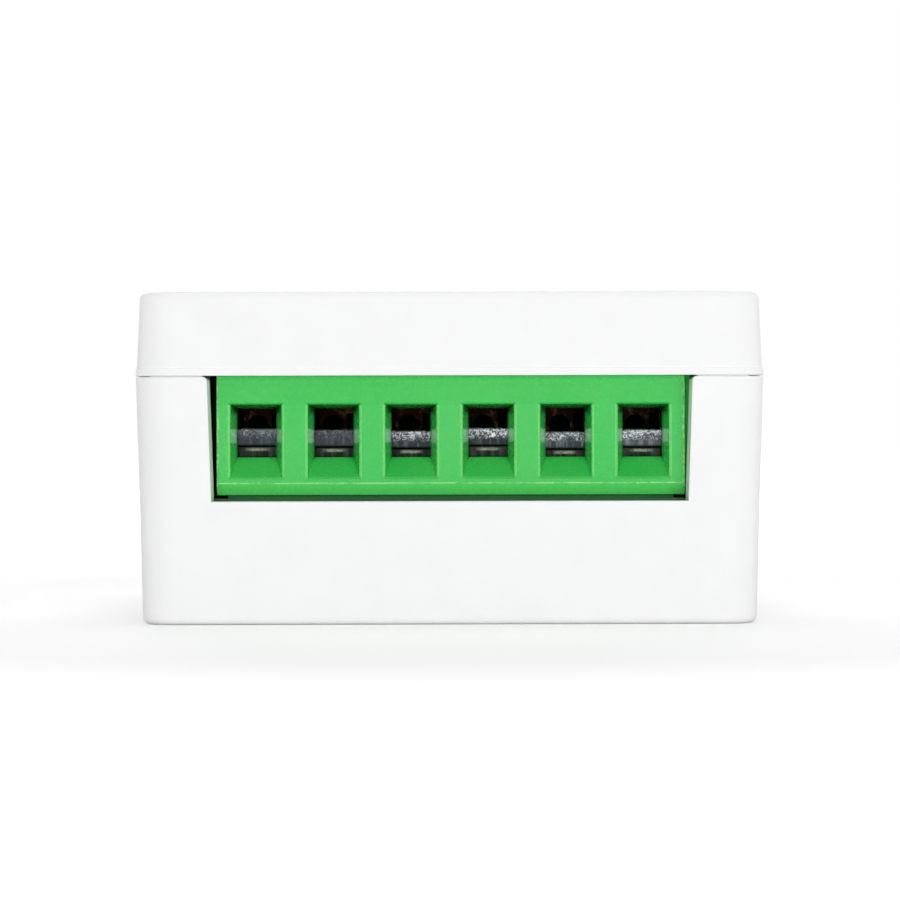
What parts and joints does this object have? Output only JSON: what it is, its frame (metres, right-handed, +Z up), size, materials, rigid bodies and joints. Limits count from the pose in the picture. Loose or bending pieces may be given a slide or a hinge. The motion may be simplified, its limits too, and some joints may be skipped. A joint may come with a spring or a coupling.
{
  "type": "smart relay module",
  "caption": "Two-shell wall-box relay module with a rising-clamp screw terminal block behind a front cut-out, a pairing button, a status light and two relays inside.",
  "frame": {"origin": "middle of the underside of the case", "axes": "+Z up towards the cover, -Y towards the wire entries, +X to the right seen from the wire side"},
  "size_m": [0.0412, 0.043, 0.0217],
  "materials": {
    "shell_white": "fine matt moulded",
    "terminal_green": "satin moulded",
    "board_green": "solder mask",
    "button_white": "fine matt moulded",
    "light_clear": "clear moulded",
    "lamp_white": "moulded",
    "switch_black": "moulded",
    "plated_steel": "tin plated",
    "screw_steel": "nickel plated",
    "cage_steel": "nickel plated, rolled",
    "contact_copper": "stamped copper alloy",
    "can_black": "sleeved can",
    "ferrite": "sintered",
    "tape_yellow": "taped winding",
    "varistor_blue": "dipped",
    "resistor_green": "dipped",
    "relay_black": "moulded",
    "bobbin_white": "moulded",
    "winding_copper": "enamelled wire",
    "soft_iron": "zinc plated",
    "blade_bronze": "stamped bronze"
  },
  "bodies": {
    "root": {"base_shell": "shell_white", "top_cover": "shell_white", "terminal_housing": "terminal_green", "main_board": "board_green", "light_pipe": "light_clear", "status_led": "lamp_white", "switch_body": "switch_black", "switch_plate": "plated_steel", "switch_dome": "plated_steel", "bulk_capacitor": "can_black", "output_capacitor": "can_black", "transformer_core": "ferrite", "transformer_bobbin": "tape_yellow", "varistor": "varistor_blue", "fuse_resistor": "resistor_green", "radio_board": "board_green", "radio_shield": "plated_steel", "terminal_contact_1": "contact_copper", "terminal_contact_2": "contact_copper", "terminal_contact_3": "contact_copper", "terminal_contact_4": "contact_copper", "terminal_contact_5": "contact_copper", "terminal_contact_6": "contact_copper", "relay_case_1": "relay_black", "relay_base_1": "relay_black", "relay_bobbin_1": "bobbin_white", "relay_winding_1": "winding_copper", "relay_yoke_1": "soft_iron", "relay_core_1": "soft_iron", "relay_terminals_1": "blade_bronze", "relay_case_2": "relay_black", "relay_base_2": "relay_black", "relay_bobbin_2": "bobbin_white", "relay_winding_2": "winding_copper", "relay_yoke_2": "soft_iron", "relay_core_2": "soft_iron", "relay_terminals_2": "blade_bronze"},
    "screw_1": {"terminal_screw_1": "screw_steel"},
    "cage_1": {"clamp_cage_1": "cage_steel"},
    "screw_2": {"terminal_screw_2": "screw_steel"},
    "cage_2": {"clamp_cage_2": "cage_steel"},
    "screw_3": {"terminal_screw_3": "screw_steel"},
    "cage_3": {"clamp_cage_3": "cage_steel"},
    "screw_4": {"terminal_screw_4": "screw_steel"},
    "cage_4": {"clamp_cage_4": "cage_steel"},
    "screw_5": {"terminal_screw_5": "screw_steel"},
    "cage_5": {"clamp_cage_5": "cage_steel"},
    "screw_6": {"terminal_screw_6": "screw_steel"},
    "cage_6": {"clamp_cage_6": "cage_steel"},
    "button": {"button_cap": "button_white"},
    "plunger": {"switch_plunger": "switch_black"},
    "armature_1": {"relay_armature_1": "soft_iron", "relay_blade_1": "blade_bronze"},
    "armature_2": {"relay_armature_2": "soft_iron", "relay_blade_2": "blade_bronze"}
  },
  "joints": [
    {"name": "cage_1_rise", "type": "slide", "parent": "root", "child": "cage_1", "axis": [0, 0, 1], "range_m": [-0.0012, 0.0014]},
    {"name": "screw_1_turn", "type": "hinge", "parent": "root", "child": "screw_1", "pos_m": [-0.0127, -0.0159, 0.0174], "axis": [0, 0, -1], "range_deg": [-970, 1130]},
    {"name": "cage_2_rise", "type": "slide", "parent": "root", "child": "cage_2", "axis": [0, 0, 1], "range_m": [-0.00113, 0.00147]},
    {"name": "screw_2_turn", "type": "hinge", "parent": "root", "child": "screw_2", "pos_m": [-0.00762, -0.0159, 0.0174], "axis": [0, 0, -1], "range_deg": [-914, 1186]},
    {"name": "cage_3_rise", "type": "slide", "parent": "root", "child": "cage_3", "axis": [0, 0, 1], "range_m": [-0.00103, 0.00157]},
    {"name": "screw_3_turn", "type": "hinge", "parent": "root", "child": "screw_3", "pos_m": [-0.00254, -0.0159, 0.0174], "axis": [0, 0, -1], "range_deg": [-834, 1266]},
    {"name": "cage_4_rise", "type": "slide", "parent": "root", "child": "cage_4", "axis": [0, 0, 1], "range_m": [-0.0012, 0.0014]},
    {"name": "screw_4_turn", "type": "hinge", "parent": "root", "child": "screw_4", "pos_m": [0.00254, -0.0159, 0.0174], "axis": [0, 0, -1], "range_deg": [-970, 1130]},
    {"name": "cage_5_rise", "type": "slide", "parent": "root", "child": "cage_5", "axis": [0, 0, 1], "range_m": [-0.00096, 0.00164]},
    {"name": "screw_5_turn", "type": "hinge", "parent": "root", "child": "screw_5", "pos_m": [0.00762, -0.0159, 0.0174], "axis": [0, 0, -1], "range_deg": [-778, 1322]},
    {"name": "cage_6_rise", "type": "slide", "parent": "root", "child": "cage_6", "axis": [0, 0, 1], "range_m": [-0.00109, 0.00151]},
    {"name": "screw_6_turn", "type": "hinge", "parent": "root", "child": "screw_6", "pos_m": [0.0127, -0.0159, 0.0174], "axis": [0, 0, -1], "range_deg": [-882, 1218]},
    {"name": "button_press", "type": "slide", "parent": "root", "child": "button", "axis": [0, 0, -1], "range_m": [0, 0.0003], "stiffness_N_per_m": 1500},
    {"name": "plunger_press", "type": "slide", "parent": "root", "child": "plunger", "axis": [0, 0, -1], "range_m": [0, 0.0003]},
    {"name": "armature_1_swing", "type": "hinge", "parent": "root", "child": "armature_1", "pos_m": [-0.012, 0.0059, 0.01085], "axis": [1, 0, 0], "range_deg": [0, 5], "stiffness_Nm_per_rad": 0.002, "springref_deg": -2.86},
    {"name": "armature_2_swing", "type": "hinge", "parent": "root", "child": "armature_2", "pos_m": [-0.0012, 0.0059, 0.01085], "axis": [1, 0, 0], "range_deg": [0, 5], "stiffness_Nm_per_rad": 0.002, "springref_deg": -2.86}
  ],
  "couplings": [
    {"joint": "screw_1_turn", "follows": "cage_1_rise", "rad_per_m": 13963},
    {"joint": "screw_2_turn", "follows": "cage_2_rise", "rad_per_m": 13963},
    {"joint": "screw_3_turn", "follows": "cage_3_rise", "rad_per_m": 13963},
    {"joint": "screw_4_turn", "follows": "cage_4_rise", "rad_per_m": 13963},
    {"joint": "screw_5_turn", "follows": "cage_5_rise", "rad_per_m": 13963},
    {"joint": "screw_6_turn", "follows": "cage_6_rise", "rad_per_m": 13963},
    {"joint": "plunger_press", "follows": "button_press", "ratio": 1}
  ]
}
